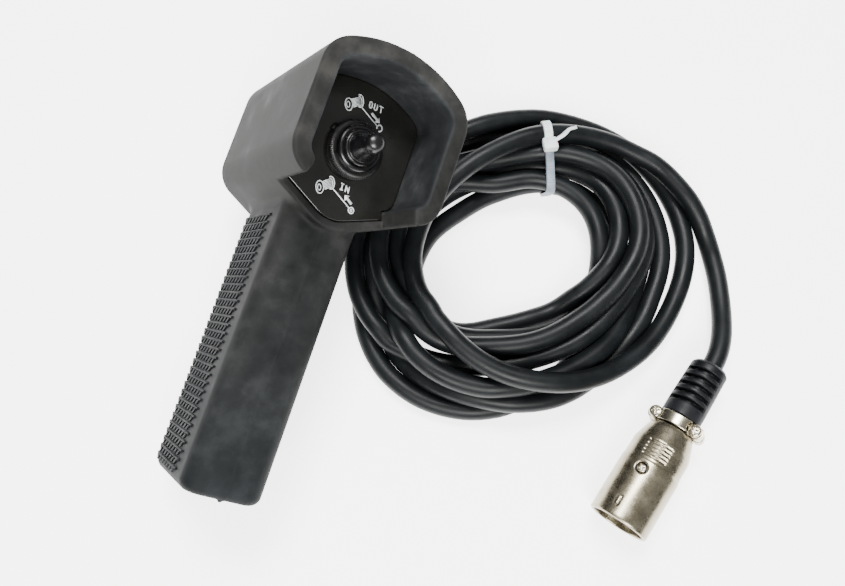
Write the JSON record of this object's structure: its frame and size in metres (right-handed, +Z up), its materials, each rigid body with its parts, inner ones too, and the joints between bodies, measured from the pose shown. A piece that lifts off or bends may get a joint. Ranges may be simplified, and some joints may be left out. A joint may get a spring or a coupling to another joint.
{
  "type": "pendant control station",
  "caption": "Hooded pistol-grip pendant with a booted momentary toggle, lying on its side edge beside a tied coil of cord and a round metal cable connector.",
  "frame": {"origin": "centre of the bottom of the handset's own box as it lies, with the strain relief, cord, cable tie and connector left out", "axes": "+Z up from the surface it lies on, +Y along the grip towards the head, +X across it towards the coil"},
  "size_m": [0.1817, 0.1562, 0.0814],
  "materials": {
    "housing_rubber": "matte moulded rubber, slightly dusty",
    "plate_plastic": "fine satin laminate with pale printed symbols",
    "nickel_plate": "satin nickel",
    "steel": "zinc-plated satin",
    "white_plastic": "moulded satin",
    "phenolic": "moulded satin",
    "silver_contact": "silver-plated satin",
    "brass": "satin",
    "dark_metal": "blackened, worn bright on the edges",
    "boot_rubber": "smooth semi-gloss",
    "cord_jacket": "smooth semi-gloss jacket",
    "wire_white": "smooth insulation",
    "wire_red": "smooth insulation",
    "wire_green": "smooth insulation",
    "nylon": "translucent natural nylon",
    "shell_nickel": "satin nickel-plated die casting",
    "insert_plastic": "moulded satin",
    "boot_plastic": "matte moulded"
  },
  "bodies": {
    "station": {"rubber_housing": "housing_rubber", "face_plate": "plate_plastic", "threaded_bushing": "nickel_plate", "pivot_pin": "steel", "switch_frame": "steel", "switch_base": "phenolic", "common_terminal": "brass", "pay_out_terminal": "brass", "pay_in_terminal": "brass", "common_receptacle": "brass", "pay_out_receptacle": "brass", "pay_in_receptacle": "brass", "lock_washer": "steel", "rear_nut": "nickel_plate", "keyed_washer": "dark_metal", "knurled_nut": "dark_metal", "boot_collar": "dark_metal", "rubber_boot": "boot_rubber", "strain_relief": "cord_jacket", "common_wire": "wire_white", "pay_out_wire": "wire_red", "pay_in_wire": "wire_green", "cord_lead": "cord_jacket", "cord_tail": "cord_jacket", "cord_coil": "cord_jacket", "cable_tie": "nylon", "connector_shell": "shell_nickel", "connector_insert": "insert_plastic", "contact_1": "silver_contact", "contact_2": "silver_contact", "contact_3": "silver_contact", "shell_screw": "shell_nickel", "connector_boot": "boot_plastic", "clamp_saddle_upper": "shell_nickel", "clamp_saddle_lower": "shell_nickel", "clamp_screw_left": "nickel_plate", "clamp_screw_right": "nickel_plate"},
    "toggle": {"toggle_lever": "steel", "plunger_spring": "steel"},
    "plunger": {"plunger": "white_plastic"},
    "rocker": {"rocker_contact": "silver_contact"}
  },
  "joints": [
    {"name": "toggle_tilt", "type": "hinge", "parent": "station", "child": "toggle", "pos_m": [0.00476, 0.03729, 0.04749], "axis": [0.829, 0.0585, -0.5561], "range_deg": [-13, 13], "stiffness_Nm_per_rad": 0.3, "deforming": ["rubber_boot"]},
    {"name": "plunger_slide", "type": "slide", "parent": "toggle", "child": "plunger", "axis": [0.5592, -0.0867, 0.8245], "range_m": [0, 0.0005], "stiffness_N_per_m": 200, "deforming": ["plunger_spring"]},
    {"name": "rocker_tilt", "type": "hinge", "parent": "station", "child": "rocker", "pos_m": [-0.00262, 0.03843, 0.03661], "axis": [0.829, 0.0585, -0.5561], "range_deg": [-7.15, 7.15]}
  ],
  "couplings": [
    {"joint": "rocker_tilt", "follows": "toggle_tilt", "ratio": -0.55}
  ]
}
